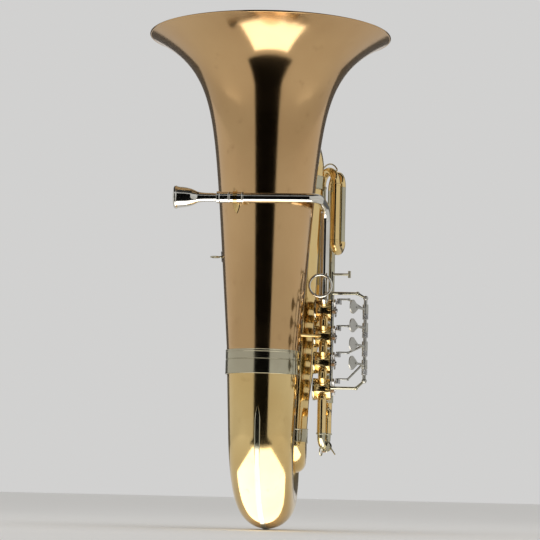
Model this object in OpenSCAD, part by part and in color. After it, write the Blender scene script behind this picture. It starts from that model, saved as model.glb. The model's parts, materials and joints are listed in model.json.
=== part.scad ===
// A tuba with an upright bell, a wrap of conical branches and bows, four rotary valves
// worked by paddle levers, and slides that pull. +Z up, +X towards the valves,
// +Y away from the leadpipe side. The origin is the lowest point of the bottom bow.

/* [Bell] */
// Outer diameter of the bell rim
bell_d = 420; // [380:5:450]
// Height of the bell rim
bell_h = 857; // [800:1:900]
// Outer radius where the bell meets its ferrule
bell_throat_r = 62.9; // [55:0.1:70]
// Growth of the bell radius for each mm of height
bell_taper = 0.0745; // [0.05:0.0005:0.1]
// Length over which the flare grows by a factor of e
flare_len = 54.6; // [40:0.2:70]
// Thickness of the sheet metal
wall = 0.8; // [0.6:0.1:2]
// Height of the top of the bell ferrule
ferrule_top = 308; // [280:1:330]
// Height of the bell ferrule band
ferrule_h = 42; // [20:1:60]

/* [Wrap] */
// Centreline radius of the bottom bow
bow_r = 112; // [100:1:130]
// Outer radius of the bottom bow on the bell side
bow_r1 = 57.2; // [50:0.1:62]
// Outer radius of the bottom bow on the far side
bow_r2 = 42; // [34:0.1:50]
// Thickness of the guard strip under the bow
guard_t = 1.6; // [1:0.1:3]
// Width of the guard strip
guard_w = 9.5; // [6:0.5:20]
// Sideways place of the third branch at its top
third_x = 62; // [55:1:70]
// Sideways place of the third branch at its foot
third_foot_x = 46; // [40:1:60]
// Depth of the third branch
third_y = -8; // [-20:1:5]
// Height of the centre of the top bow
top_bow_z = 628; // [580:1:660]
// Height of the centre of the inner bow
inner_bow_z = 154; // [130:1:180]

/* [Valves] */
// Height of the lowest rotor axis
valve_z = 246; // [230:1:260]
// Distance between rotor axes
valve_pitch = 46; // [42:0.5:55]
// Middle of the casings along the rotor axes
valve_x = 100; // [96:1:112]
// Depth of the rotor axes
valve_y = -58; // [-70:1:-45]
// Outer radius of a casing
casing_r = 19; // [16:0.5:24]
// Outer radius of the valve tubing
tube_r = 7.6; // [6:0.1:9]

/* [Levers] */
// Sideways place of the lever axle
axle_x = 174; // [165:1:185]
// Depth of the lever axle
axle_y = -92; // [-110:1:-80]
// Radius of the lever axle
axle_r = 3; // [2:0.1:4]
// Height of the top lever
lever_z = 384; // [370:1:400]
// Distance between levers
lever_pitch = 32; // [26:1:40]
// Length of the arm that drives the push rod
crank_len = 46; // [35:1:55]

/* [Mouthpiece and leadpipe] */
// Height of the leadpipe
lead_z = 562; // [540:1:580]
// Depth of the leadpipe in front of the bell
lead_y = -205; // [-215:1:-200]
// Outer radius of the leadpipe
lead_r = 7.9; // [7:0.1:9]
// Place of the mouthpiece rim
rim_x = -147; // [-160:1:-140]
// Outer radius of the mouthpiece rim
mouth_r = 20; // [17:0.1:21]

/* [Hidden] */
$fn = 48;
SIDES = 32;
run_fit = 0.05;
touch = 0.02;
bell_y = -bow_r;
rim_r = bell_d / 2;
tail_taper = 0.0238;
bow_mid_r = (bow_r1 + bow_r2) / 2;
bow_z = bow_r + bow_mid_r + guard_t;
joint_z = ferrule_top - ferrule_h / 2;
flare_amp = rim_r - bell_throat_r - bell_taper * (bell_h - ferrule_top);
outer_join_z = 240;
outer_r1 = 40.6;
outer_r2 = 31.6;
top_r1 = 31;
top_r2 = 27.2;
third_r1 = 26.8;
third_r2 = 21.6;
inner_r1 = 21;
inner_r2 = 19.6;
fourth_foot = [42, 58];
fourth_top = [80, 45];
fourth_top_z = 446;
fourth_r2 = 8.9;
slide_r = 7.7;
sleeve_r = 8.6;
leg1 = fourth_top;
leg2 = [109, 5];
leg3 = [117, 38];
return_leg = [96, 82];
crook_z = 617;
low_u_z = 516;
return_top = crook_z - 2;
exit_z = 207;
exit_bend = 17;
lower_u_z = 170;
boss_len = 20.5;
boss_r = 8.6;
port_d = boss_len * sin(45);
lead_bend = 14;
drop_y = valve_y - port_d - lead_bend * (1 - cos(45));
lower_left = [valve_x, drop_y];
lower_right = [107, -46];
bore_r = 6.9;
rotor_r = casing_r - 2.6;
passage_r = 6.4;
passage_y = 11;
casing_len = 28;
rotor_len = 22;
cap_t = 3.4;
neck_len = 22;
leg_dz = 11.6;
lead_drop_bend = 28;
lead_turn = 24;
spindle_r = 3;
arm_x = valve_x + 17;
arm_t = 3.4;
rod_x = axle_x - crank_len * 0.987;
rod_dz = 11;
rod_travel = 20.7;
pin_r = 1.5;
sleeve_len = 40;
slide_reach = [6, 0, 4, 12];
paddle_angle = 250;
crank_angle = 193;

brass = [0.80, 0.62, 0.36];
nickel = [0.66, 0.67, 0.62];
silver = [0.82, 0.82, 0.80];
steel = [0.5, 0.5, 0.52];
cork = [0.45, 0.3, 0.2];

function mix(a, b, t) = a + (b - a) * t;
function unit(v) = v / norm(v);
function at(p, z) = [p[0], p[1], z];
function valve_at(n) = valve_z + valve_pitch * (4 - n);
function lever_at(n) = lever_z - lever_pitch * (n - 1);
function rod_at(n) = valve_at(n) + rod_dz;
function third_axis(z) = mix(third_foot_x, third_x, (z - inner_bow_z) / (top_bow_z - inner_bow_z));

// Outer radius of the bell and its slope at a height
function bell_r(z) = z < ferrule_top
    ? bell_throat_r - tail_taper * (ferrule_top - z)
    : bell_throat_r + bell_taper * (z - ferrule_top) + flare_amp * exp((z - bell_h) / flare_len);
function bell_slope(z) = z < ferrule_top
    ? tail_taper
    : bell_taper + flare_amp / flare_len * exp((z - bell_h) / flare_len);
function skin(z, d) = let (s = bell_slope(z), k = sqrt(1 + s * s)) [bell_r(z) + d / k, z - d * s / k];

// Heights of the bell profile, closer together towards the rim
function bell_steps(z0, z1, n) = [for (i = [0 : n]) z1 - (z1 - z0) * pow(1 - i / n, 2)];

module bell_layer(z0, z1, d0, d1, n) {
    low = max(z0, ferrule_top);
    zs = concat(z0 < low ? [z0] : [], bell_steps(low, z1, n));
    last = len(zs) - 1;
    translate([0, bell_y, 0])
        rotate_extrude($fn = 96)
            polygon(concat([for (z = zs) skin(z, d1)],
                           [for (i = [last : -1 : 0]) skin(zs[i], d0)]));
}

// A straight cone between two points
module cone(p, q, r1, r2) {
    v = q - p;
    translate(p)
        rotate([0, acos(v[2] / norm(v)), atan2(v[1], v[0])])
            cylinder(h = norm(v), r1 = r1, r2 = r2);
}

module pipe(p, q, r1, r2, t) {
    u = unit(q - p);
    difference() {
        cone(p, q, r1, r2);
        cone(p - u, q + u, r1 - t, r2 - t);
    }
}

// A bend of constant radius: centre, way to its start, way it sets off, sweep angle
module bend(c, out, heading, big_r, r, angle, t) {
    w = cross(out, heading);
    multmatrix([[out[0], heading[0], w[0], c[0]],
                [out[1], heading[1], w[1], c[1]],
                [out[2], heading[2], w[2], c[2]],
                [0, 0, 0, 1]])
        rotate_extrude(angle = angle)
            translate([big_r, 0])
                difference() {
                    circle(r);
                    if (t > 0) circle(r - t);
                }
}

// A half turn from one upright leg to another: side is 1 over the top, -1 below
module crook(a, b, z, r, t, side) {
    ab = [b[0] - a[0], b[1] - a[1], 0];
    bend([(a[0] + b[0]) / 2, (a[1] + b[1]) / 2, z], -unit(ab), [0, 0, side], norm(ab) / 2, r, 180, t);
}

module upright(a, z0, z1, r, t) {
    pipe(at(a, z0), at(a, z1), r, r, t);
}

module collar(a, z, h, r_in, r_out) {
    translate(at(a, z))
        difference() {
            cylinder(h = h, r = r_out);
            translate([0, 0, -1]) cylinder(h = h + 2, r = r_in);
        }
}

// Hollow tube swept along a flat path. Each step is [along, height, heading angle].
module swept(origin, dir, path, radii, t, n) {
    side = [dir[1], -dir[0], 0];
    last = len(path) - 1;
    function spoke(i, a) = let (h = path[i][2], c = cos(a), s = sin(a))
        [-sin(h) * c * dir[0] + s * side[0], -sin(h) * c * dir[1] + s * side[1], cos(h) * c];
    function mid(i) = [origin[0] + path[i][0] * dir[0], origin[1] + path[i][0] * dir[1], path[i][1]];
    outer = [for (i = [0 : last], j = [0 : n - 1]) mid(i) + radii[i] * spoke(i, 360 * j / n)];
    inner = [for (i = [0 : last], j = [0 : n - 1]) mid(i) + (radii[i] - t) * spoke(i, 360 * j / n)];
    k = len(outer);
    end = last * n;
    polyhedron(points = concat(outer, inner), faces = concat(
        [for (i = [0 : last - 1], j = [0 : n - 1]) let (m = (j + 1) % n)
            [i * n + j, i * n + m, i * n + n + m, i * n + n + j]],
        [for (i = [0 : last - 1], j = [0 : n - 1]) let (m = (j + 1) % n)
            [k + i * n + j, k + i * n + n + j, k + i * n + n + m, k + i * n + m]],
        [for (j = [0 : n - 1]) let (m = (j + 1) % n) [j, k + j, k + m, m]],
        [for (j = [0 : n - 1]) let (m = (j + 1) % n) [end + j, end + m, k + end + m, k + end + j]]),
        convexity = 6);
}

// Path of a half circle between two legs, with straight ends of their own lengths
function half_turn(big_r, z, up, lead, tail, n) = concat(
    lead > 0 ? [[-big_r, z - up * lead, up * 90]] : [],
    [for (i = [0 : n]) let (a = 180 - 180 * i / n) [big_r * cos(a), z + up * big_r * sin(a), up * (a - 90)]],
    tail > 0 ? [[big_r, z - up * tail, -up * 90]] : []);

function along_path(r0, r1, r2, r3, lead, tail, n) = concat(
    lead > 0 ? [r0] : [],
    [for (i = [0 : n]) mix(r1, r2, i / n)],
    tail > 0 ? [r3] : []);

module bow(a, b, z, up, r1, r2, lead, tail, r0, r3, n) {
    ab = [b[0] - a[0], b[1] - a[1]];
    big_r = norm(ab) / 2;
    swept((a + b) / 2, ab / norm(ab), half_turn(big_r, z, up, lead, tail, n),
          along_path(r0, r1, r2, r3, lead, tail, n), wall, SIDES);
}

module bell() {
    color(brass) {
        bell_layer(joint_z + touch, bell_h, -wall, 0, 34);
        translate([0, bell_y, bell_h + 0.9])
            rotate_extrude($fn = 96)
                translate([rim_r - 1.1, 0])
                    circle(r = 1.9, $fn = 24);
    }
}

module bell_ferrule() {
    band_r = 64.6;
    bead_r = 0.55;
    groove_z = ferrule_top - ferrule_h * 0.4;
    low_z = ferrule_top - ferrule_h;
    color(nickel)
        translate([0, bell_y, 0])
            difference() {
                union() {
                    translate([0, 0, low_z]) cylinder(h = ferrule_h, r = band_r);
                    for (z = [low_z + bead_r, ferrule_top - bead_r, ferrule_top - 4])
                        translate([0, 0, z])
                            rotate_extrude()
                                translate([band_r, 0])
                                    circle(r = bead_r, $fn = 16);
                }
                translate([0, 0, low_z - 1])
                    cylinder(h = ferrule_h + 2, r1 = bell_r(low_z - 1) + touch,
                             r2 = bell_throat_r + tail_taper + touch);
                translate([0, 0, groove_z])
                    rotate_extrude()
                        translate([band_r, 0])
                            circle(r = 0.5, $fn = 16);
            }
}

module bottom_bow() {
    color(brass)
        bow([0, bell_y], [0, bow_r], bow_z, -1, bow_r1, bow_r2,
            joint_z - bow_z, outer_join_z - 12 - bow_z, bell_r(joint_z), outer_r1 + 0.3, 28);
}

// A narrow strip on the outermost line of the bow, pointed at both ends
module bow_guard_strip() {
    top_z = 217;
    full_z = 196;
    n = 28;
    lift = 0.08;
    lead = full_z - bow_z;
    path = concat([[-bow_r, top_z, -90]], half_turn(bow_r, bow_z, -1, lead, lead, n), [[bow_r, top_z, 90]]);
    radii = concat([59.9], along_path(59.1, bow_r1, bow_r2, 41.5, 1, 1, n), [41.1]);
    last = len(path) - 1;
    function half_w(i) = (i == 0 || i == last) ? 0.6 : guard_w / 2;
    function spot(i, x, d) = let (h = path[i][2], r = radii[i], f = sqrt(r * r - x * x) + d)
        [x, path[i][0] + sin(h) * f, path[i][1] - cos(h) * f];
    sides = 5;
    rows = [for (i = [0 : last]) [spot(i, -half_w(i), lift), spot(i, 0, lift), spot(i, half_w(i), lift),
                                  spot(i, half_w(i) * 0.75, guard_t), spot(i, -half_w(i) * 0.75, guard_t)]];
    color(nickel)
        polyhedron(points = [for (row = rows) each row], faces = concat(
            [for (i = [0 : last - 1], j = [0 : sides - 1]) let (m = (j + 1) % sides)
                [i * sides + j, i * sides + sides + j, i * sides + sides + m, i * sides + m]],
            [[for (j = [0 : sides - 1]) j]],
            [[for (j = [sides - 1 : -1 : 0]) last * sides + j]]), convexity = 6);
}

module ring_band(p, q, r1, r2, t) {
    u = unit(q - p);
    difference() {
        cone(p, q, r1 + t, r2 + t);
        cone(p - u, q + u, r1 + touch, r2 + touch);
    }
}

module outer_ferrules() {
    foot_r = outer_r1 + 0.8;
    color(nickel) {
        ring_band([0, bow_r, outer_join_z - 26], [0, bow_r, outer_join_z + 10], foot_r, foot_r, 1.8);
        ring_band([0, bow_r, top_bow_z - 30], [0, bow_r, top_bow_z - 2], outer_r2 + 0.4, outer_r2 + 0.4, 1.6);
    }
}

module outer_branch() {
    color(brass)
        pipe([0, bow_r, outer_join_z - 11.8], [0, bow_r, top_bow_z - 16.2], outer_r1, outer_r2, wall);
}

module top_bow() {
    color(brass)
        bow([0, bow_r], [third_x, third_y], top_bow_z, 1, top_r1, top_r2, 16, 10, top_r1 + 0.3, top_r2, 20);
}

module third_branch() {
    color(brass)
        pipe([third_axis(inner_bow_z + 12), third_y, inner_bow_z + 12],
             [third_axis(top_bow_z - 12), third_y, top_bow_z - 12], third_r2, third_r1, wall);
}

module third_ferrules() {
    color(nickel) {
        ring_band([third_axis(inner_bow_z + 1), third_y, inner_bow_z + 1],
                  [third_axis(inner_bow_z + 24), third_y, inner_bow_z + 24], third_r2 + 0.5, third_r2 + 0.7, 1.5);
        ring_band([third_x - 0.6, third_y, top_bow_z - 25], [third_x, third_y, top_bow_z - 1],
                  top_r2 + 0.5, top_r2 + 0.5, 1.5);
    }
}

module inner_bow() {
    color(brass)
        bow([third_foot_x, third_y], fourth_foot, inner_bow_z, -1, inner_r1, inner_r2, 10, 9, inner_r1, inner_r2, 18);
}

module fourth_branch() {
    z0 = inner_bow_z + 9.2;
    run = fourth_top - fourth_foot;
    n = 16;
    rise = fourth_top_z - z0;
    span = norm(run);
    path = [for (i = [0 : n]) let (t = i / n)
        [span * t * t * (3 - 2 * t), z0 + rise * t, atan2(rise, span * 6 * t * (1 - t))]];
    color(brass)
        swept(fourth_foot, run / span, path, [for (i = [0 : n]) mix(inner_r2, fourth_r2, i / n)], wall, 28);
}

module fourth_ferrules() {
    color(nickel) {
        ring_band(at(fourth_foot, inner_bow_z), at(fourth_foot, inner_bow_z + 18), inner_r2 + 0.2, inner_r2 + 0.2, 1.4);
        ring_band(at(fourth_top, fourth_top_z - 8), at(fourth_top, fourth_top_z + 8), fourth_r2 + 0.5,
                  fourth_r2 + 0.5, 1.2);
    }
}

module main_slide_sleeves() {
    color(nickel) {
        upright(leg1, fourth_top_z + touch, crook_z - 4, sleeve_r, sleeve_r - slide_r - run_fit);
        collar(leg1, crook_z - 4 + touch, 3.6, slide_r + run_fit, sleeve_r + 0.9);
    }
    color(brass) {
        upright(leg2, low_u_z, crook_z - 4, sleeve_r, sleeve_r - slide_r - run_fit);
        collar(leg2, crook_z - 4 + touch, 3.6, slide_r + run_fit, sleeve_r + 0.9);
    }
}

module main_tuning_slide() {
    leg_end = 86;
    color(brass) crook(leg1, leg2, crook_z + touch, slide_r, 0.8, 1);
    color(nickel)
        for (leg = [leg1, leg2])
            upright(leg, crook_z - leg_end, crook_z, slide_r, 0.8);
}

module main_slide_guard() {
    wire = 1.3;
    stand = slide_r + 6;
    ab = [leg2[0] - leg1[0], leg2[1] - leg1[1], 0];
    u = unit(ab);
    c = at((leg1 + leg2) / 2, crook_z);
    big = norm(ab) / 2 + stand;
    start = 40;
    foot_r = norm(ab) / 2 + slide_r + touch;
    ray1 = -u * cos(start) + [0, 0, sin(start)];
    ray2 = u * cos(start) + [0, 0, sin(start)];
    color(nickel) {
        bend(c, ray1, u * sin(start) + [0, 0, cos(start)], big, wire, 180 - 2 * start, 0);
        for (ray = [ray1, ray2])
            cone(c + ray * foot_r, c + ray * (big - wire - touch), wire, wire);
    }
}

module return_tube() {
    t = sleeve_r - slide_r;
    color(brass) {
        crook(leg2, leg3, low_u_z - touch, sleeve_r, t, -1);
        crook(leg3, return_leg, return_top + touch, slide_r, t, 1);
    }
    color(nickel) {
        upright(leg3, low_u_z, return_top, slide_r, t);
        upright(return_leg, exit_z + exit_bend + 12, return_top, slide_r, t);
    }
}

module exit_tube() {
    t = sleeve_r - slide_r;
    r = slide_r - 0.1;
    u = unit([return_leg[0] - lower_right[0], return_leg[1] - lower_right[1], 0]);
    near = at(lower_right, exit_z) + u * exit_bend;
    far = at(return_leg, exit_z) - u * exit_bend;
    rise = [0, 0, exit_bend];
    color(brass) {
        bend(near - rise, -u, [0, 0, 1], exit_bend, r, 90, t);
        pipe(near + u * touch, far - u * touch, r, r, t);
        bend(far + rise, [0, 0, -1], u, exit_bend, r, 90, t);
        upright(return_leg, exit_z + exit_bend + touch, exit_z + exit_bend + 12 - touch, r, t);
    }
    color(nickel)
        collar(return_leg, exit_z + exit_bend + 4, 14, slide_r + touch, sleeve_r + 0.8);
}

module lower_sleeves() {
    t = 0.8;
    port = [valve_x, valve_y - port_d, valve_at(4) - port_d];
    out = [0, -sin(45), sin(45)];
    heading = [0, -sin(45), -sin(45)];
    turn_z = port[2] - lead_bend * sin(45);
    color(brass) {
        bend(port - out * lead_bend, out, heading, lead_bend, tube_r, 45, t);
        upright(lower_left, lower_u_z, turn_z - touch, tube_r, t);
        upright(lower_right, lower_u_z, exit_z - exit_bend - touch, tube_r, t);
    }
    color(nickel)
        for (leg = [lower_left, lower_right])
            collar(leg, lower_u_z - touch - 3, 3, tube_r - t, tube_r + 1.1);
}

module lower_slide() {
    r = tube_r - 0.8 - run_fit;
    drop = 6;
    color(nickel) {
        crook(lower_left, lower_right, lower_u_z - drop - touch, r, 0.7, -1);
        upright(lower_left, lower_u_z - drop, lower_u_z + 34, r, 0.7);
        upright(lower_right, lower_u_z - drop, lower_u_z + 12, r, 0.7);
    }
}

module lower_slide_ring() {
    wire = 1.1;
    ring_r = 7;
    slide_u = unit(lower_right - lower_left);
    reach = norm(lower_right - lower_left) / 2 + tube_r + ring_r + wire - 0.8 - run_fit + touch * 2;
    mid = (lower_left + lower_right) / 2;
    c = at(mid - slide_u * reach * cos(60), lower_u_z - 6 - reach * sin(60));
    color(nickel)
        bend(c, [slide_u[0], slide_u[1], 0], [0, 0, 1], ring_r, wire, 360, 0);
}

// The water key turns on a pin held by two ears beside the foot of the lower crook
key_u = unit([lower_right[0] - lower_left[0], lower_right[1] - lower_left[1], 0]);
key_n = [key_u[1], -key_u[0], 0];
key_foot = at((lower_left + lower_right) / 2, lower_u_z - 6 - norm(lower_right - lower_left) / 2);
key_pivot = key_foot + key_n * 11 - [0, 0, 1.5];
nipple_z = tube_r + 1.2;

module water_key_seat() {
    ear_t = 1.5;
    color(nickel)
        difference() {
            union() {
                for (k = [-1, 1])
                    cone(key_pivot - key_n * 7 + key_u * (k * 4.6 - ear_t / 2),
                         key_pivot - key_n * 7 + key_u * (k * 4.6 + ear_t / 2), 9, 9);
                cone(key_foot, key_foot - [0, 0, nipple_z], 2.4, 2.4);
            }
            crook(lower_left, lower_right, lower_u_z - 6, tube_r - 0.8, 0, -1);
            cone(key_pivot - key_u * 9, key_pivot + key_u * 9, 0.85, 0.85);
            translate(key_foot - [14, 14, 24]) cube([28, 28, 12]);
            cone(key_foot - key_u * 12 - key_n * 6, key_foot + key_u * 12 - key_n * 6, 9.5, 9.5);
        }
}

module water_key() {
    color(nickel) {
        cone(key_pivot - key_u * 6.6, key_pivot + key_u * 6.6, 0.8, 0.8);
        cone(key_pivot - key_u * 3.4, key_pivot + key_u * 3.4, 1.9, 1.9);
        cone(key_pivot, key_pivot + key_n * 10 - [0, 0, 14], 1.5, 1.1);
        cone(key_pivot, key_foot + key_n * 4.3 - [0, 0, nipple_z + 3], 1.2, 1.2);
    }
}

module water_key_cork() {
    top_z = nipple_z + 0.3;
    color(cork)
        cone(key_foot - [0, 0, top_z + 3], key_foot - [0, 0, top_z], 2.9, 2.9);
}

module valve_drum(n, r) {
    translate([valve_x - casing_len / 2, valve_y, valve_at(n)])
        rotate([0, 90, 0])
            cylinder(h = casing_len, r = r);
}

module leadpipe() {
    t = 0.9;
    turn_y = lead_y + lead_turn;
    knee = [valve_x, drop_y - lead_drop_bend, lead_z - lead_drop_bend];
    port = [valve_x, valve_y - port_d, valve_at(1) + port_d];
    heading = [0, -sin(45), sin(45)];
    out = [0, -sin(45), -sin(45)];
    foot_z = port[2] + lead_bend * sin(45);
    color(silver) {
        pipe([rim_x + 98, lead_y, lead_z], [valve_x - lead_turn - touch, lead_y, lead_z], lead_r, lead_r, t);
        bend([valve_x - lead_turn, turn_y, lead_z], [0, -1, 0], [1, 0, 0], lead_turn, lead_r, 90, t);
        pipe([valve_x, turn_y + touch, lead_z], [valve_x, knee[1] - touch, lead_z], lead_r, lead_r, t);
        bend(knee, [0, 0, 1], [0, 1, 0], lead_drop_bend, lead_r, 90, t);
        pipe([valve_x, drop_y, foot_z + touch], [valve_x, drop_y, knee[2] - touch], lead_r, lead_r, t);
        bend(port - out * lead_bend, out, heading, lead_bend, lead_r, 45, t);
    }
}

module mouthpiece_receiver() {
    mouth = [rim_x + 73, lead_y, lead_z];
    color(silver)
        translate(mouth)
            rotate([0, 90, 0])
                difference() {
                    union() {
                        cylinder(h = 46, r = 9.3);
                        cylinder(h = 5, r = 10.4);
                        translate([0, 0, 20]) cylinder(h = 3, r = 9.9);
                        translate([0, 0, 43]) cylinder(h = 3, r = 9.9);
                    }
                    translate([0, 0, -0.01]) cylinder(h = 25.01, r1 = 7.05, r2 = 6.55);
                    translate([0, 0, 24]) cylinder(h = 23, r = lead_r + touch);
                }
}

module mouthpiece() {
    color(silver)
        translate([rim_x, lead_y, lead_z])
            rotate([0, 90, 0])
                difference() {
                    rotate_extrude()
                        polygon([[0, 0.4], [16.4, 0.4], [17.2, 0], [18.8, 0], [mouth_r, 1.6], [mouth_r, 4.2],
                                 [18.6, 6.4], [17.9, 12], [17, 20], [15.2, 28], [12.6, 34], [9.8, 40],
                                 [8.4, 46], [7.7, 54], [7.5, 66], [7, 70], [6.5, 94], [0, 94]]);
                    rotate_extrude()
                        polygon([[0, -1], [16.4, -1], [16.4, 0.6], [15.8, 3], [15.6, 12], [14, 22], [10.5, 30],
                                 [6, 35.5], [4, 39], [4, 46], [5.6, 95], [0, 95]]);
                }
}

// A leaf shaped pad that follows the outside of the bell, pointing at the angle a
module leaf(a, z, half_h, half_w, t) {
    big = (half_h * half_h + half_w * half_w) / (2 * half_w);
    intersection() {
        bell_layer(z - half_h - 6, z + half_h + 6, touch, t, 8);
        translate([0, bell_y, z])
            rotate([0, 90, a])
                intersection() {
                    translate([0, half_w - big, 0]) cylinder(h = 120, r = big);
                    translate([0, big - half_w, 0]) cylinder(h = 120, r = big);
                }
    }
}

module leadpipe_brace() {
    a = 238;
    foot = [cos(a) * 80, bell_y + sin(a) * 80, lead_z];
    color(brass) {
        leaf(a, lead_z - 4, 20, 7, 1.3);
        difference() {
            cone([foot[0], foot[1], lead_z], [foot[0], lead_y, lead_z], 3.2, 3.2);
            bell_layer(lead_z - 30, lead_z + 30, -40, 1.3 + touch, 4);
            cone([foot[0] - 20, lead_y, lead_z], [foot[0] + 20, lead_y, lead_z], 10.5, 10.5);
        }
        difference() {
            cone([foot[0] - 3.5, lead_y, lead_z], [foot[0] + 3.5, lead_y, lead_z], 10.5 - touch, 10.5 - touch);
            cone([foot[0] - 9, lead_y, lead_z], [foot[0] + 9, lead_y, lead_z], 9.3 + touch, 9.3 + touch);
        }
    }
}

strap_z = 470;
strap_x = -bell_r(strap_z) - 5;
strap_ring_r = 7.6;
strap_wire = 1.3;

module strap_bracket() {
    color(nickel) {
        intersection() {
            bell_layer(strap_z - 20, strap_z + 20, touch, 1.4, 4);
            translate([-100, bell_y - 6, strap_z - 9]) cube([60, 12, 18]);
        }
        difference() {
            cone([strap_x, bell_y, strap_z], [strap_x + 10, bell_y, strap_z], 2, 2.6);
            bell_layer(strap_z - 20, strap_z + 20, -20, 1.4 + touch, 4);
            translate([strap_x - strap_ring_r, bell_y, strap_z])
                rotate_extrude()
                    translate([strap_ring_r, 0])
                        circle(r = strap_wire + touch, $fn = 24);
        }
    }
}

module strap_ring() {
    hole_r = strap_ring_r - strap_wire + 0.3;
    color(nickel)
        translate([strap_x - strap_ring_r, bell_y, strap_z])
            difference() {
                rotate_extrude()
                    translate([strap_ring_r, 0])
                        circle(r = strap_wire, $fn = 24);
                translate([0, 0, -3]) cylinder(h = 6, r = hole_r);
            }
}

// Casing with four ports: sockets at the front and two level tubes at the back
module valve_casing(n) {
    centre = [valve_x, valve_y, valve_at(n)];
    color(brass)
        difference() {
            union() {
                valve_drum(n, casing_r);
                for (k = [-1, 1]) {
                    cone(centre + [0, -1, k] * 9, centre + [0, -1, k] * port_d, boss_r, boss_r);
                    cone(centre + [0, 5, k * leg_dz], centre + [0, neck_len, k * leg_dz], tube_r, tube_r);
                }
            }
            translate(centre - [20, 0, 0])
                rotate([0, 90, 0])
                    cylinder(h = 40, r = rotor_r + run_fit);
            for (k = [-1, 1]) {
                cone(centre, centre + [0, -1, k] * (port_d + 1), bore_r, bore_r);
                cone(centre + [0, 5, k * leg_dz], centre + [0, neck_len + 1, k * leg_dz], bore_r, bore_r);
            }
        }
}

module valve_caps() {
    x0 = valve_x - casing_len / 2 - cap_t - touch;
    color(nickel)
        for (n = [1 : 4])
            translate([x0, valve_y, valve_at(n)])
                rotate([0, 90, 0])
                    difference() {
                        union() {
                            cylinder(h = cap_t, r = casing_r + 0.6);
                            translate([0, 0, cap_t + touch - 0.01]) cylinder(h = 2.4, r = rotor_r);
                        }
                        translate([0, 0, cap_t + 0.6]) cylinder(h = 3, r = spindle_r + run_fit);
                        translate([0, 0, -1]) cylinder(h = 2, r = 5);
                    }
}

module bearing_plates() {
    x0 = valve_x + rotor_len / 2 + 0.4;
    color(nickel)
        for (n = [1 : 4])
            translate([x0, valve_y, valve_at(n)])
                rotate([0, 90, 0])
                    difference() {
                        union() {
                            cylinder(h = valve_x + casing_len / 2 - x0, r = rotor_r);
                            cylinder(h = valve_x + casing_len / 2 - x0 + 1.6, r = 6);
                        }
                        translate([0, 0, -1]) cylinder(h = 9, r = spindle_r + run_fit);
                    }
}

module stop_corks() {
    lug_stop = 72.6;
    x0 = valve_x + casing_len / 2 + touch;
    color(cork)
        for (n = [1 : 4], k = [-1, 1])
            translate([x0, valve_y + k * 11 * sin(lug_stop), valve_at(n) - 11 * cos(lug_stop)])
                rotate([0, 90, 0])
                    cylinder(h = 6, r = 2.2, $fn = 24);
}

// Rotor with two curved passages, its spindle, the slotted arm and the stop lug
module rotor(n) {
    end_x = arm_x + arm_t - valve_x;
    color(steel)
        translate([valve_x, valve_y, valve_at(n)])
            rotate([0, 90, 0]) {
                difference() {
                    union() {
                        translate([0, 0, -rotor_len / 2]) cylinder(h = rotor_len, r = rotor_r);
                        translate([0, 0, -rotor_len / 2 - 2])
                            cylinder(h = rotor_len / 2 + 4 + end_x, r = spindle_r);
                    }
                    for (k = [-1, 1])
                        translate([-casing_r, k * passage_y, 0])
                            rotate([0, 90, 0]) cylinder(h = casing_r * 2, r = passage_r);
                }
            }
    color(nickel)
        translate([arm_x, valve_y, valve_at(n)])
            difference() {
                union() {
                    rotate([0, 90, 0]) cylinder(h = arm_t, r = 5.6);
                    rotate([45, 0, 0])
                        translate([0.3, -4, 1]) cube([arm_t - 0.6, 8, 21]);
                    rotate([45, 0, 0])
                        translate([0.3, -2.5, -13]) cube([arm_t - 0.6, 5, 11]);
                }
                rotate([45, 0, 0])
                    translate([-1, -2.45, 8.2]) cube([arm_t + 2, 4.9, 10]);
            }
}

module valve_knuckles() {
    s = sin(45);
    big = valve_pitch / sqrt(2) - boss_len;
    color(brass)
        for (n = [1 : 3])
            bend([valve_x, valve_y - valve_pitch / 2 + big * sqrt(2), valve_at(n) - valve_pitch / 2],
                 [0, -s, s], [0, -s, -s], big, tube_r, 90, tube_r - bore_r);
}

// Lever on the axle: a paddle for the finger and a crank that pushes the rod
module lever(n) {
    z = lever_at(n);
    eye_z = rod_at(n) + 3.4;
    plate_t = 1.8;
    plate_at = 52;
    knee = [29, 0, eye_z + 1.3 - z];
    color(nickel)
        translate([axle_x, axle_y, z])
            difference() {
                union() {
                    translate([0, 0, -8]) cylinder(h = 16, r = 5);
                    rotate([0, 0, paddle_angle]) {
                        cone([4, 0, 0], [plate_at - 13, 0, 0], 2.2, 1.8);
                        translate([plate_at, plate_t / 2, 0]) rotate([90, 0, 0]) {
                            cylinder(h = plate_t, r = 12);
                            translate([-16, 0, 0]) cylinder(h = plate_t, r = 4.5);
                            linear_extrude(height = plate_t)
                                polygon([[-17.5, 4.2], [-5.5, 10.7], [-5.5, -10.7], [-17.5, -4.2]]);
                        }
                    }
                    rotate([0, 0, crank_angle]) {
                        cone([4, 0, 0], knee, 1.9, 1.7);
                        translate(knee - [0, 0, 2.1]) cylinder(h = 4.2, r = 2.3);
                        cone(knee, [crank_len, 0, knee[2]], 1.7, 1.7);
                        translate([crank_len, 0, eye_z - z]) cylinder(h = 2.4, r = 4);
                        translate([crank_len, 0, eye_z - 6.4 - z]) cylinder(h = 7, r = pin_r);
                    }
                }
                translate([0, 0, -20]) cylinder(h = 40, r = axle_r + run_fit);
            }
}

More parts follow.
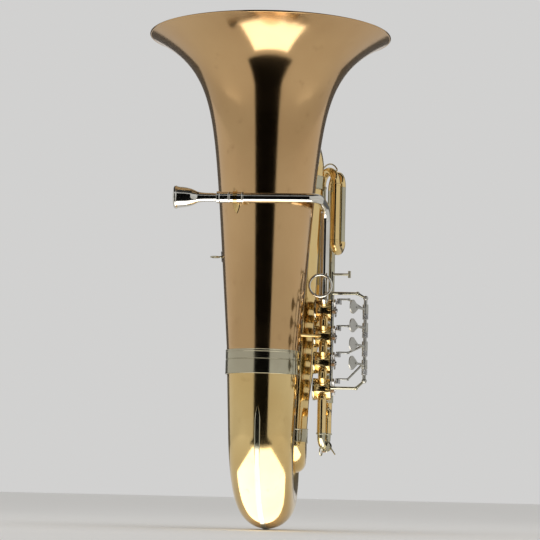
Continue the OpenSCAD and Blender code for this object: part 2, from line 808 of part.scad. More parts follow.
// Push rod with an eye for the crank pin and a pin for the rotor arm
module push_rod(n) {
    z = rod_at(n);
    y0 = axle_y - crank_len * sin(crank_angle - 180);
    y1 = valve_y - rod_travel / 2;
    eye_r = 4.6;
    color(steel)
        difference() {
            union() {
                translate([rod_x, y0, z - 2.5]) cylinder(h = 5, r = eye_r);
                cone([rod_x, y0 + 3, z], [rod_x, y1 + 2, z], 1.7, 1.7);
                cone([arm_x - 0.8, y1, z], [rod_x + 1.7, y1, z], pin_r, pin_r);
            }
            translate([rod_x, y0, z - 4]) cylinder(h = 8, r = pin_r + 0.95);
        }
}

axle_top = 403;
axle_foot = 260;

module lever_axle() {
    color(silver) {
        cone([axle_x, axle_y, axle_foot], [axle_x, axle_y, axle_top], axle_r, axle_r);
        for (z = [axle_foot, axle_top])
            translate([axle_x, axle_y, z]) sphere(r = 4.4);
    }
}

module lever_frame() {
    plate_x = valve_x + 14.6;
    hook_z = 444;
    arm_z = [411, 247];
    tip_x = axle_x - 14;
    ends = [axle_top, axle_foot];
    color(nickel)
        difference() {
            union() {
                translate([plate_x, axle_y - 6, arm_z[1] - 4]) cube([2, 13, hook_z - arm_z[1] + 8]);
                cone([plate_x + 1, axle_y, hook_z], [axle_x - 29, axle_y, hook_z], 2, 2);
                cone([axle_x - 29, axle_y, hook_z - 6], [axle_x - 29, axle_y, hook_z + 6], 2.4, 2.4);
                for (i = [0, 1]) {
                    cone([plate_x + 1, axle_y, arm_z[i]], [tip_x, axle_y, arm_z[i]], 2.8, 2.4);
                    cone([tip_x, axle_y, arm_z[i]], [axle_x, axle_y, ends[i]], 2.4, 2);
                    translate([tip_x, axle_y, arm_z[i]]) sphere(r = 3.4);
                }
                for (n = [1, 4])
                    cone([plate_x + 1, axle_y + 5, valve_at(n)], [valve_x + 6, valve_y - casing_r + 3, valve_at(n)], 2.6, 2.6);
            }
            for (z = ends)
                translate([axle_x, axle_y, z]) sphere(r = 4.4 + touch);
            cone([axle_x, axle_y, axle_foot], [axle_x, axle_y, axle_top], axle_r + touch, axle_r + touch);
            for (n = [1, 4]) valve_drum(n, casing_r + touch);
        }
}

module lever_springs() {
    wire = 0.7;
    coils = 5;
    color(steel)
        for (n = [1 : 4], i = [0 : coils - 1])
            translate([axle_x, axle_y, lever_at(n) - 9.4 - i * 1.9])
                rotate_extrude($fn = 32)
                    translate([axle_r + 1.5, 0])
                        circle(r = wire, $fn = 12);
}

module thumb_ring() {
    c = [valve_x - 4, axle_y - 14, 423];
    big = 19;
    wire = 2.4;
    hole_r = big - wire + 0.4;
    foot = [valve_x + 15.6, axle_y - 3, 413];
    color(nickel) {
        translate(c)
            rotate([90, 0, 0])
                difference() {
                    rotate_extrude()
                        translate([big, 0])
                            circle(r = wire, $fn = 24);
                    translate([0, 0, -4]) cylinder(h = 8, r = hole_r);
                }
        difference() {
            cone(foot, c + (big + 1.4) * [cos(-20), 0, sin(-20)], 1.8, 1.8);
            translate([foot[0] - 1 - touch, axle_y - 6 - touch, 380]) cube([2 + touch * 2, 20, 60]);
            translate(c)
                rotate([90, 0, 0])
                    rotate_extrude()
                        translate([big, 0])
                            circle(r = wire + touch, $fn = 24);
        }
    }
}

sleeve_y0 = valve_y + neck_len;

module slide_sleeves() {
    color(nickel)
        for (n = [1 : 4], k = [-1, 1]) {
            a = [valve_x, sleeve_y0 + touch, valve_at(n) + k * leg_dz];
            pipe(a, a + [0, sleeve_len, 0], tube_r, tube_r, 0.7);
        }
}

module valve_slide(n) {
    r = tube_r - 0.7 - run_fit;
    start = sleeve_y0 + 4;
    end = sleeve_y0 + sleeve_len + 3 + slide_reach[n - 1];
    up = at([valve_x, end], valve_at(n));
    tip = leg_dz + r;
    color(brass) {
        bend(up + [0, touch, 0], [0, 0, 1], [0, 1, 0], leg_dz, r, 180, 0.7);
        for (k = [-1, 1])
            pipe([valve_x, start, valve_at(n) + k * leg_dz], [valve_x, end, valve_at(n) + k * leg_dz], r, r, 0.7);
    }
    color(nickel)
        cone(up + [0, tip + touch * 2, 0], up + [0, tip + 5, 0], 3.4, 3.4);
}

module braces() {
    color(brass) {
        difference() {
            cone([0, bell_y + 60, 500], [0, bow_r - 20, 500], 3.6, 3.6);
            bell_layer(470, 530, -60, touch, 4);
            cone([0, bow_r, 440], [0, bow_r, 560], 38, 36);
        }
        difference() {
            cone([40, bell_y + 14, valve_at(2)], [valve_x - 4, valve_y - casing_r + 3, valve_at(2)], 3, 3);
            bell_layer(valve_at(2) - 28, valve_at(2) + 30, -40, touch, 4);
            valve_drum(2, casing_r + touch);
            translate([valve_x - casing_len / 2 - cap_t - touch * 2, valve_y, valve_at(2)])
                rotate([0, 90, 0]) cylinder(h = cap_t + touch * 2, r = casing_r + 0.6 + touch);
        }
        difference() {
            cone(at(leg1, 540), at(leg2, 540), 2.2, 2.2);
            for (leg = [leg1, leg2])
                cone(at(leg, 520), at(leg, 560), sleeve_r + touch, sleeve_r + touch);
        }
        difference() {
            cone(at(leg2, 560), at(leg3, 560), 2.2, 2.2);
            cone(at(leg2, 540), at(leg2, 580), sleeve_r + touch, sleeve_r + touch);
            cone(at(leg3, 540), at(leg3, 580), slide_r + touch, slide_r + touch);
        }
    }
}

bell();
bell_ferrule();
bottom_bow();
bow_guard_strip();
outer_ferrules();
outer_branch();
top_bow();
third_branch();
third_ferrules();
inner_bow();
fourth_branch();
fourth_ferrules();
main_slide_sleeves();
main_tuning_slide();
main_slide_guard();
return_tube();
exit_tube();
lower_sleeves();
lower_slide();
lower_slide_ring();
water_key_seat();
water_key();
water_key_cork();
leadpipe();
mouthpiece_receiver();
mouthpiece();
leadpipe_brace();
strap_bracket();
strap_ring();
valve_casing(1);  // valve_casing_1
valve_casing(2);  // valve_casing_2
valve_casing(3);  // valve_casing_3
valve_casing(4);  // valve_casing_4
valve_caps();
bearing_plates();
stop_corks();
rotor(1);  // rotor_1
rotor(2);  // rotor_2
rotor(3);  // rotor_3
rotor(4);  // rotor_4
valve_knuckles();
lever(1);  // lever_1
lever(2);  // lever_2
lever(3);  // lever_3
lever(4);  // lever_4
push_rod(1);  // push_rod_1
push_rod(2);  // push_rod_2
push_rod(3);  // push_rod_3
push_rod(4);  // push_rod_4
lever_axle();
lever_frame();
lever_springs();
thumb_ring();
slide_sleeves();
valve_slide(1);  // valve_slide_1
valve_slide(2);  // valve_slide_2
valve_slide(3);  // valve_slide_3
valve_slide(4);  // valve_slide_4
braces();
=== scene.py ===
"""A tuba with an upright bell: studio, finishes and finely shaped tubing over the CAD frame."""

import json
import math

import bpy
import numpy as np
from mathutils import Matrix, Vector


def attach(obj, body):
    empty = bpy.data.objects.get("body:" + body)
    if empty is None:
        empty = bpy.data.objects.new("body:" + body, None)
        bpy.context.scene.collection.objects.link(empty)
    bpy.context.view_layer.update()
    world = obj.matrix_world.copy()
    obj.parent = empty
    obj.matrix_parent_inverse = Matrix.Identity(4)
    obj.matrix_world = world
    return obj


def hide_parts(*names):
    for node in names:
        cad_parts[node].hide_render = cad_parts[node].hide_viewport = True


MM = 0.001

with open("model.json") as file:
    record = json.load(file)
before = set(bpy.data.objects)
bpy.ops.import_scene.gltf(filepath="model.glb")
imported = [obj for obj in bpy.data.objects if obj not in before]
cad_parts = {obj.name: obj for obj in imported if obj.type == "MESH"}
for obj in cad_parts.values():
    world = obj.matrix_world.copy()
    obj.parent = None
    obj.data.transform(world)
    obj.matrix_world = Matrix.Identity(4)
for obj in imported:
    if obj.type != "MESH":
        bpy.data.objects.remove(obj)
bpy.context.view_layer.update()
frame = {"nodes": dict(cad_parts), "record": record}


# ---------------------------------------------------------------- camera

BELL_Y = -112.0
CAM_AZIMUTH = 7.0
CAM_DISTANCE = 3700.0
CAM_HEIGHT = 62.5
CAM_YAW = -0.0022808
CAM_PITCH = 0.103943
CAM_ROLL = -0.023372
CAM_LENS = 143.1


def make_camera():
    """Camera low in front of the bell, turned a little to its right and looking up."""
    a = math.radians(CAM_AZIMUTH)
    place = Vector((math.sin(a) * CAM_DISTANCE, BELL_Y - math.cos(a) * CAM_DISTANCE, CAM_HEIGHT)) * MM
    h, p = a + CAM_YAW, CAM_PITCH
    ahead = Vector((-math.sin(h) * math.cos(p), math.cos(h) * math.cos(p), math.sin(p)))
    right = ahead.cross(Vector((0, 0, 1))).normalized()
    up = right.cross(ahead)
    c, s = math.cos(CAM_ROLL), math.sin(CAM_ROLL)
    right, up = c * right - s * up, s * right + c * up
    data = bpy.data.cameras.new("camera")
    data.lens = CAM_LENS
    data.sensor_width = 36.0
    data.clip_end = 100
    cam = bpy.data.objects.new("camera", data)
    bpy.context.scene.collection.objects.link(cam)
    turn = Matrix((right, up, -ahead)).transposed().to_4x4()
    cam.matrix_world = Matrix.Translation(place) @ turn
    bpy.context.scene.camera = cam
    return cam


camera = make_camera()


# ---------------------------------------------------------------- finishes

def node_maker(mat):
    """Short way to add a node with its settings and inputs to a material."""
    tree = mat.node_tree

    def add(kind, settings=None, **inputs):
        node = tree.nodes.new(kind)
        for key, value in (settings or {}).items():
            setattr(node, key, value)
        for key, value in inputs.items():
            name = key.replace("_", " ")
            if isinstance(value, bpy.types.NodeSocket):
                tree.links.new(value, node.inputs[name])
            else:
                node.inputs[name].default_value = value
        return node

    return add


def patches(add, place, scale, detail, low, high, stretch=(1, 1, 1), top=1.0):
    """A noise field turned into a smooth mask from 0 to top."""
    spot = add("ShaderNodeMapping", Vector=place, Scale=stretch)
    noise = add("ShaderNodeTexNoise", Vector=spot.outputs["Vector"], Scale=scale, Detail=detail,
                Roughness=0.6)
    return add("ShaderNodeMapRange", {"interpolation_type": "SMOOTHSTEP"}, Value=noise.outputs["Fac"],
               From_Min=low, From_Max=high, To_Max=top).outputs["Result"]


def blended(add, mask, a, b):
    """Mixes two colours by a mask."""
    mixer = add("ShaderNodeMix", {"data_type": "RGBA"})
    tree = mixer.id_data
    tree.links.new(mask, mixer.inputs["Factor"])
    for socket, value in (("A", a), ("B", b)):
        target = [i for i in mixer.inputs if i.name == socket and i.type == "RGBA"][0]
        if isinstance(value, bpy.types.NodeSocket):
            tree.links.new(value, target)
        else:
            target.default_value = (*value, 1)
    return [o for o in mixer.outputs if o.type == "RGBA"][0]


def finish(name, colour, worn, grime, rough, metallic=1.0, scale=9.0, spread=0.08, bump=0.02,
           grain=900.0, stretch=(1, 1, 1), coat=0.0):
    """A worn finish: slow colour drift, darker marks, uneven roughness and a fine surface grain."""
    mat = bpy.data.materials.new(name)
    mat.use_nodes = True
    mat.node_tree.nodes.clear()
    add = node_maker(mat)
    place = add("ShaderNodeTexCoord").outputs["Object"]
    drift = patches(add, place, scale, 3.0, 0.35, 0.68)
    marks = patches(add, place, scale * 7, 6.0, 0.60, 0.78, top=0.35)
    smudge = patches(add, place, scale * 2.6, 5.0, 0.3, 0.75)
    fine = patches(add, place, grain, 3.0, 0.2, 0.8, stretch)
    tint = blended(add, marks, blended(add, drift, colour, worn), grime)
    uneven = add("ShaderNodeMapRange", Value=smudge, To_Min=rough - spread, To_Max=rough + spread)
    relief = add("ShaderNodeBump", Strength=bump, Distance=0.0004, Height=fine)
    shader = add("ShaderNodeBsdfPrincipled", Base_Color=tint, Roughness=uneven.outputs["Result"],
                 Metallic=metallic, Normal=relief.outputs["Normal"])
    if coat:
        shader.inputs["Coat Weight"].default_value = coat
        shader.inputs["Coat Roughness"].default_value = 0.12
    out = add("ShaderNodeOutputMaterial")
    mat.node_tree.links.new(shader.outputs["BSDF"], out.inputs["Surface"])
    return mat


FINISHES = {
    "lacquered_brass": finish("lacquered_brass", (0.85, 0.635, 0.29), (0.79, 0.56, 0.235), (0.44, 0.27, 0.09),
                              0.13, scale=7.0, spread=0.025, bump=0.035, grain=700.0, coat=0.12),
    "gold_brass": finish("gold_brass", (0.665, 0.435, 0.21), (0.61, 0.385, 0.18), (0.36, 0.21, 0.09),
                         0.13, scale=5.0, spread=0.025, bump=0.035, grain=700.0, coat=0.12),
    "nickel_silver": finish("nickel_silver", (0.53, 0.50, 0.36), (0.47, 0.43, 0.31), (0.22, 0.19, 0.12),
                            0.14, scale=14.0, spread=0.04, bump=0.04),
    "silver_plate": finish("silver_plate", (0.78, 0.77, 0.72), (0.68, 0.66, 0.60), (0.28, 0.24, 0.17),
                           0.09, scale=16.0, spread=0.03, bump=0.03),
    "bright_nickel": finish("bright_nickel", (0.88, 0.86, 0.78), (0.78, 0.75, 0.66), (0.36, 0.30, 0.19),
                            0.16, scale=16.0, spread=0.04, bump=0.03),
    "satin_nickel": finish("satin_nickel", (0.50, 0.49, 0.45), (0.43, 0.42, 0.37), (0.18, 0.16, 0.12),
                           0.34, scale=20.0, spread=0.06, bump=0.08),
    "steel": finish("steel", (0.50, 0.50, 0.50), (0.42, 0.41, 0.40), (0.18, 0.16, 0.14),
                    0.28, scale=30.0, spread=0.06, bump=0.06),
    "cork": finish("cork", (0.42, 0.25, 0.13), (0.33, 0.19, 0.09), (0.12, 0.06, 0.03),
                   0.85, metallic=0.0, scale=120.0, spread=0.08, bump=0.6, grain=2200.0),
}

NODE_SLOT = {p["node"]: p["material_slot"] for p in frame["record"]["subparts"]}
NODE_BODY = {n: b for b, ns in frame["record"]["behaviour"]["bodies"].items() for n in ns}

NODE_LOOK = {"thumb_ring": "bright_nickel"}
SOFT_EDGES = ("valve_casing", "bearing_plates", "valve_caps", "lever_frame", "lever_1", "lever_2", "lever_3",
              "lever_4")


def soften(obj, width):
    """Joins the split corners of a CAD mesh and rounds its edges a little."""
    weld = obj.modifiers.new("weld", "WELD")
    weld.merge_threshold = 0.00001
    bevel = obj.modifiers.new("soft_edges", "BEVEL")
    bevel.width = width
    bevel.segments = 2
    bevel.limit_method = "ANGLE"
    bevel.angle_limit = math.radians(50)
    bevel.harden_normals = True


for node_name, node_object in frame["nodes"].items():
    node_object.data.materials.clear()
    node_object.data.materials.append(FINISHES[NODE_LOOK.get(node_name, NODE_SLOT[node_name])])
    if node_name.startswith(SOFT_EDGES):
        soften(node_object, 0.25 * MM)


# ---------------------------------------------------------------- shapes

class Skin:
    """Points and faces of one piece, in millimetres."""

    def __init__(self):
        self.points, self.faces = [], []

    def grid(self, rows, closed_rows=False):
        """Joins rings of points, each a closed loop, into a skin."""
        rows = np.asarray(rows, float)
        n, m = rows.shape[:2]
        base = sum(len(p) for p in self.points)
        self.points.append(rows.reshape(-1, 3))
        last = n if closed_rows else n - 1
        for i in range(last):
            a, b = base + i * m, base + ((i + 1) % n) * m
            for j in range(m):
                k = (j + 1) % m
                self.faces.append((a + j, a + k, b + k, b + j))

    def piece(self, name, nodes, slot, look=None):
        """Turns the skin into an object that stands for the CAD nodes."""
        mesh = bpy.data.meshes.new(name)
        mesh.from_pydata((np.vstack(self.points) * MM).tolist(), [], self.faces)
        mesh.materials.append(FINISHES[look or slot])
        mesh.polygons.foreach_set("use_smooth", [True] * len(self.faces))
        mesh.validate()
        mesh.set_sharp_from_angle(angle=math.radians(38))
        obj = bpy.data.objects.new(name, mesh)
        bpy.context.scene.collection.objects.link(obj)
        nodes = [nodes] if isinstance(nodes, str) else list(nodes)
        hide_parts(*nodes)
        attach(obj, NODE_BODY[nodes[0]])
        return obj


def turned(skin, centre, axis, profile, sides=192):
    """Revolves a closed outline of (radius, distance along the axis) points."""
    axis = np.asarray(axis, float)
    side = np.cross(axis, (0, 0, 1)) if abs(axis[2]) < 0.9 else np.array((1.0, 0, 0))
    side = side / np.linalg.norm(side)
    other = np.cross(side, axis)
    rows = []
    for a in np.linspace(0, 2 * math.pi, sides, endpoint=False):
        spoke = side * math.cos(a) + other * math.sin(a)
        rows.append([np.asarray(centre) + spoke * r + axis * h for r, h in profile])
    skin.grid(rows, closed_rows=True)


def frames_along(line):
    """Directions along a centre line, with a side direction that never twists."""
    line = np.asarray(line, float)
    steps = np.diff(line, axis=0)
    steps /= np.linalg.norm(steps, axis=1)[:, None]
    ahead = np.vstack([steps[:1], steps[:-1] + steps[1:], steps[-1:]])
    ahead /= np.linalg.norm(ahead, axis=1)[:, None]
    start = np.cross(ahead[0], (0.31, 0.22, 0.93))
    side = [start / np.linalg.norm(start)]
    for d in ahead[1:]:
        s = side[-1] - d * np.dot(side[-1], d)
        side.append(s / np.linalg.norm(s))
    side = np.array(side)
    return line, ahead, side, np.cross(ahead, side)


def tube(skin, line, radii, wall=0.8, sides=64):
    """A hollow tube with its two rims closed, along a centre line of points."""
    line, ahead, side, other = frames_along(line)
    radii = np.broadcast_to(np.asarray(radii, float), (len(line),))
    angles = np.linspace(0, 2 * math.pi, sides, endpoint=False)
    spokes = [side * math.cos(a) + other * math.sin(a) for a in angles]

    def ring(i, r):
        return [line[i] + s[i] * r for s in spokes]

    rows = [ring(i, radii[i]) for i in range(len(line))]
    rows += [ring(i, radii[i] - wall) for i in reversed(range(len(line)))]
    skin.grid(rows, closed_rows=True)


def arc(centre, start, heading, radius, angle, steps):
    """Points of a bend: way to its start, way it sets off, radius and sweep in degrees."""
    centre, start, heading = (np.asarray(v, float) for v in (centre, start, heading))
    return [centre + radius * (start * math.cos(t) + heading * math.sin(t))
            for t in np.radians(np.linspace(0, angle, steps + 1))]


def at(spot, z):
    """A point over a place on the floor plan."""
    return np.array([spot[0], spot[1], z], float)


def half_turn(a, b, z, side, steps=40):
    """Centre line of a half circle from upright leg a to leg b; side is 1 over the top, -1 below."""
    a, b = np.asarray(a, float), np.asarray(b, float)
    along = np.append((b - a) / np.linalg.norm(b - a), 0)
    centre = at((a + b) / 2, z)
    return arc(centre, -along, (0, 0, side), np.linalg.norm(b - a) / 2, 180, steps)


# ---------------------------------------------------------------- bell and bows

RIM_R = 210.0
BELL_H = 857.0
THROAT_R = 62.9
TAPER = 0.0745
TAIL_TAPER = 0.0238
FLARE = 54.6
FERRULE_TOP = 308.0
FERRULE_H = 42.0
JOINT_Z = FERRULE_TOP - FERRULE_H / 2
FLARE_AMP = RIM_R - THROAT_R - TAPER * (BELL_H - FERRULE_TOP)
WALL = 0.8
BOW_R = 112.0
BOW_R1, BOW_R2 = 57.2, 42.0
GUARD_T, GUARD_W = 1.6, 9.5
BOW_Z = BOW_R + (BOW_R1 + BOW_R2) / 2 + GUARD_T
TOUCH = 0.02


def bell_r(z):
    """The bell's outer radius at a height."""
    if z < FERRULE_TOP:
        return THROAT_R - TAIL_TAPER * (FERRULE_TOP - z)
    return THROAT_R + TAPER * (z - FERRULE_TOP) + FLARE_AMP * math.exp((z - BELL_H) / FLARE)


def make_bell():
    """The bell's sheet with its flare and the rolled bead round the rim."""
    skin = Skin()
    heights = [BELL_H - (BELL_H - JOINT_Z - TOUCH) * (1 - t) ** 1.7 for t in np.linspace(0, 1, 150)]
    outside, inside = [], []
    for z in heights:
        slope = (bell_r(z + 0.01) - bell_r(z - 0.01)) / 0.02
        k = math.sqrt(1 + slope * slope)
        outside.append((bell_r(z), z))
        inside.append((bell_r(z) - WALL / k, z + WALL * slope / k))
    turned(skin, (0, BELL_Y, 0), (0, 0, 1), outside + inside[::-1], sides=256)
    bead = [(RIM_R - 1.1 + 1.86 * math.cos(t), BELL_H + 0.9 + 1.86 * math.sin(t))
            for t in np.linspace(0, 2 * math.pi, 20, endpoint=False)]
    turned(skin, (0, BELL_Y, 0), (0, 0, 1), bead, sides=256)
    return skin.piece("bell_fine", "bell", "lacquered_brass", look="gold_brass")


def make_ferrule():
    """The bell's joint band: beads at its edges and a groove below the middle."""
    low = FERRULE_TOP - FERRULE_H
    band = 64.6
    bead = 0.55

    def bump(z, r, sign):
        return [(band + sign * r * math.sin(t), z - r * math.cos(t)) for t in np.linspace(0, math.pi, 9)]

    profile = [(bell_r(low) + 0.05, low)]
    profile += bump(low + bead, bead, 1)
    profile += bump(FERRULE_TOP - FERRULE_H * 0.4, 0.8, -1)
    profile += bump(FERRULE_TOP - 4, bead, 1)
    profile += bump(FERRULE_TOP - bead, bead, 1)
    profile += [(bell_r(FERRULE_TOP) + 0.05, FERRULE_TOP)]
    skin = Skin()
    turned(skin, (0, BELL_Y, 0), (0, 0, 1), profile, sides=192)
    return skin.piece("bell_ferrule_fine", "bell_ferrule", "nickel_silver")


def bow_line(steps=90):
    """Centre line and radii of the bottom bow, from the bell joint round to the far side."""
    line = [(0, -BOW_R, z) for z in np.linspace(JOINT_Z, BOW_Z, 16)[:-1]]
    radii = list(np.interp(np.linspace(0, 1, 16)[:-1], [0, 1], [bell_r(JOINT_Z), BOW_R1]))
    angles = np.linspace(math.pi, 0, steps + 1)
    line += [(0, BOW_R * math.cos(a), BOW_Z - BOW_R * math.sin(a)) for a in angles]
    radii += list(np.linspace(BOW_R1, BOW_R2, steps + 1))
    line += [(0, BOW_R, z) for z in np.linspace(BOW_Z, 228, 10)[1:]]
    radii += list(np.linspace(BOW_R2, 40.9, 10)[1:])
    return np.array(line), np.array(radii)


def make_bottom_bow():
    """The wide bow under the bell."""
    skin = Skin()
    line, radii = bow_line()
    tube(skin, line, radii, sides=128)
    return skin.piece("bottom_bow_fine", "bottom_bow", "lacquered_brass")


def make_guard_strip():
    """The pale strip on the outermost line of the bow, pointed at both ends, with raised edges."""
    top = 217.0
    taper = 21.0
    line, radii = bow_line(steps=140)
    keep = [i for i in range(len(line)) if line[i][2] <= top]
    line, radii = line[keep], radii[keep]
    gone = np.concatenate([[0], np.cumsum(np.linalg.norm(np.diff(line, axis=0), axis=1))])
    _, ahead, _, _ = frames_along(line)
    whole = gone[-1]
    skin = Skin()
    rows = []
    for point, r, d, s in zip(line, radii, ahead, gone):
        out = np.cross(d, (1, 0, 0))
        if np.dot(out, (0, point[1], point[2] - BOW_Z)) < 0:
            out = -out
        end = min(s, whole - s)
        half = GUARD_W / 2 * min(1.0, 0.06 + 0.94 * (end / taper) ** 0.8)
        across = [(-1, 0.02), (-0.97, 0.73), (-0.84, 0.94), (-0.72, 0.66), (0, 0.68), (0.72, 0.66),
                  (0.84, 0.94), (0.97, 0.73), (1, 0.02)]
        ring = []
        for x, lift in across:
            f = math.sqrt(r * r - (x * half) ** 2) + GUARD_T * lift * (0.4 + 0.6 * min(1, end / 8))
            ring.append(point + np.array((x * half, 0, 0)) + out * f)
        rows.append(ring[::-1])
    tips = [[np.mean(rows[i], axis=0)] * len(rows[i]) for i in (0, -1)]
    skin.grid([tips[0], *rows, tips[1]])
    return skin.piece("bow_guard_strip_fine", "bow_guard_strip", "nickel_silver")


def u_tube(a, b, z, side, r1, r2, lead, tail, r0, r3, steps=56):
    """Centre line and radii of a bow with straight ends, on two upright legs."""
    turn = half_turn(a, b, z, side, steps)
    line = [at(a, z - side * lead), *turn, at(b, z - side * tail)]
    return line, [r0, *np.linspace(r1, r2, steps + 1), r3]


OUTER = (0.0, BOW_R)
OUTER_JOIN_Z = 240.0
OUTER_R1, OUTER_R2 = 40.6, 31.6
TOP_BOW_Z = 628.0
TOP_R1, TOP_R2 = 31.0, 27.2
THIRD_TOP, THIRD_FOOT, THIRD_Y = 62.0, 46.0, -8.0
THIRD_R1, THIRD_R2 = 26.8, 21.6
INNER_Z = 154.0
INNER_R1, INNER_R2 = 21.0, 19.6
FOURTH_FOOT, FOURTH_TOP = np.array((42.0, 58.0)), np.array((80.0, 45.0))
FOURTH_TOP_Z, FOURTH_R2 = 446.0, 8.9


def third_x(z):
    """How far right the leaning third branch stands at a height."""
    return THIRD_FOOT + (THIRD_TOP - THIRD_FOOT) * (z - INNER_Z) / (TOP_BOW_Z - INNER_Z)


def make_wrap():
    """The branches and bows behind the bell."""
    skin = Skin()
    heights = np.linspace(OUTER_JOIN_Z - 11.8, TOP_BOW_Z - 16.2, 24)
    tube(skin, [at(OUTER, z) for z in heights], np.linspace(OUTER_R1, OUTER_R2, 24), sides=96)
    skin.piece("outer_branch_fine", "outer_branch", "lacquered_brass")

    skin = Skin()
    line, radii = u_tube(OUTER, (THIRD_TOP, THIRD_Y), TOP_BOW_Z, 1, TOP_R1, TOP_R2, 16, 10,
                         TOP_R1 + 0.3, TOP_R2)
    tube(skin, line, radii, sides=96)
    skin.piece("top_bow_fine", "top_bow", "lacquered_brass")

    skin = Skin()
    heights = np.linspace(INNER_Z + 12, TOP_BOW_Z - 12, 24)
    tube(skin, [(third_x(z), THIRD_Y, z) for z in heights], np.linspace(THIRD_R2, THIRD_R1, 24), sides=96)
    skin.piece("third_branch_fine", "third_branch", "lacquered_brass")

    skin = Skin()
    line, radii = u_tube((THIRD_FOOT, THIRD_Y), FOURTH_FOOT, INNER_Z, -1, INNER_R1, INNER_R2, 10, 9,
                         INNER_R1, INNER_R2)
    tube(skin, line, radii, sides=80)
    skin.piece("inner_bow_fine", "inner_bow", "lacquered_brass")

    skin = Skin()
    foot_z = INNER_Z + 9.2
    line, radii = [], []
    for t in np.linspace(0, 1, 64):
        s = t * t * (3 - 2 * t)
        spot = FOURTH_FOOT + (FOURTH_TOP - FOURTH_FOOT) * s
        line.append(at(spot, foot_z + (FOURTH_TOP_Z - foot_z) * t))
        radii.append(INNER_R2 + (FOURTH_R2 - INNER_R2) * t)
    tube(skin, line, radii, sides=80)
    skin.piece("fourth_branch_fine", "fourth_branch", "lacquered_brass")


def band(skin, centre, axis, inner, outer, height, lip=0.0, sides=96):
    """A ring round a tube with softened edges, and a raised lip at both ends if asked."""
    e = min(0.35, (outer - inner) / 3, height / 4)
    profile = [(inner, 0), (outer - e, 0), (outer - 0.3 * e, 0.3 * e), (outer, e)]
    if lip:
        w = 1.1
        profile = [(inner, 0), (outer + lip - e, 0), (outer + lip, e), (outer + lip, w), (outer, w + 0.5),
                   (outer, height - w - 0.5), (outer + lip, height - w), (outer + lip, height - e),
                   (outer + lip - e, height), (inner, height)]
    else:
        profile += [(outer, height - e), (outer - 0.3 * e, height - 0.3 * e), (outer - e, height),
                    (inner, height)]
    turned(skin, centre, axis, profile, sides=sides)


UP = (0.0, 0.0, 1.0)


def leaning(across, rise):
    """Direction of an upright that leans to the right by across over a rise."""
    return np.array((across, 0, rise)) / math.hypot(across, rise)


def make_branch_ferrules():
    """Pale bands where the branches and bows join."""
    skin = Skin()
    band(skin, at(OUTER, OUTER_JOIN_Z - 26), UP, OUTER_R1 + 0.82, OUTER_R1 + 2.2, 36, lip=0.4)
    band(skin, at(OUTER, TOP_BOW_Z - 30), UP, OUTER_R2 + 0.42, OUTER_R2 + 1.6, 28, lip=0.4)
    skin.piece("outer_ferrules_fine", "outer_ferrules", "nickel_silver")
    skin = Skin()
    foot = (third_x(INNER_Z + 1), THIRD_Y, INNER_Z + 1)
    band(skin, foot, leaning(THIRD_TOP - THIRD_FOOT, TOP_BOW_Z - INNER_Z), THIRD_R2 + 0.72, THIRD_R2 + 1.6,
         22.9, lip=0.4)
    head = (THIRD_TOP - 0.6, THIRD_Y, TOP_BOW_Z - 25)
    band(skin, head, leaning(0.6, 24), TOP_R2 + 0.52, TOP_R2 + 1.6, 24, lip=0.4)
    skin.piece("third_ferrules_fine", "third_ferrules", "nickel_silver")
    skin = Skin()
    band(skin, at(FOURTH_FOOT, INNER_Z), UP, INNER_R2 + 0.22, INNER_R2 + 1.2, 18, lip=0.4)
    band(skin, at(FOURTH_TOP, FOURTH_TOP_Z - 8), UP, FOURTH_R2 + 0.52, FOURTH_R2 + 1.3, 16, lip=0.4)
    skin.piece("fourth_ferrules_fine", "fourth_ferrules", "nickel_silver")


# ---------------------------------------------------------------- slides and small tubing

LEG1, LEG2 = np.array((80.0, 45.0)), np.array((109.0, 5.0))
LEG3, RETURN_LEG = np.array((117.0, 38.0)), np.array((96.0, 82.0))
SLIDE_R, SLEEVE_R = 7.7, 8.6
CROOK_Z, LOW_U_Z = 617.0, 516.0
RETURN_TOP = CROOK_Z - 2
EXIT_Z, EXIT_BEND = 207.0, 17.0
VALVE_X, VALVE_Y, VALVE_Z, PITCH = 100.0, -58.0, 246.0, 46.0
TUBE_R = 7.6
SLANT = math.sqrt(0.5)
PORT_D = 20.5 * SLANT
PORT_BEND = 14.0
LOWER_LEFT = np.array((VALVE_X, VALVE_Y - PORT_D - PORT_BEND * (1 - SLANT)))
LOWER_RIGHT = np.array((107.0, -46.0))
LOWER_U_Z = 170.0
LEG_DZ = 11.6
SLEEVE_Y = VALVE_Y + 22
SLIDE_REACH = (6, 0, 4, 12)


def valve_at(n):
    """Height of a valve, counted from the top."""
    return VALVE_Z + PITCH * (4 - n)


def upright(skin, leg, low, high, r, wall, sides=64):
    """A straight upright tube."""
    tube(skin, [at(leg, low), at(leg, high)], r, wall, sides)


def make_main_slide():
    """Sleeves with their collars, and the tuning slide that pulls up, with its crook."""
    wall = SLEEVE_R - SLIDE_R - 0.05
    for name, leg, low, slot in (("sleeve_near_bell", LEG1, FOURTH_TOP_Z + TOUCH, "nickel_silver"),
                                 ("sleeve_far", LEG2, LOW_U_Z, "lacquered_brass")):
        skin = Skin()
        upright(skin, leg, low, CROOK_Z - 4, SLEEVE_R, wall)
        band(skin, at(leg, CROOK_Z - 4 + TOUCH), UP, SLIDE_R + 0.05, SLEEVE_R + 0.9, 3.6)
        skin.piece(name, "main_slide_sleeves", slot)
    skin = Skin()
    tube(skin, half_turn(LEG1, LEG2, CROOK_Z + TOUCH, 1), SLIDE_R)
    skin.piece("main_slide_crook", "main_tuning_slide", "lacquered_brass")
    skin = Skin()
    for leg in (LEG1, LEG2):
        upright(skin, leg, CROOK_Z - 86, CROOK_Z, SLIDE_R, 0.8)
    skin.piece("main_slide_legs", "main_tuning_slide", "nickel_silver")


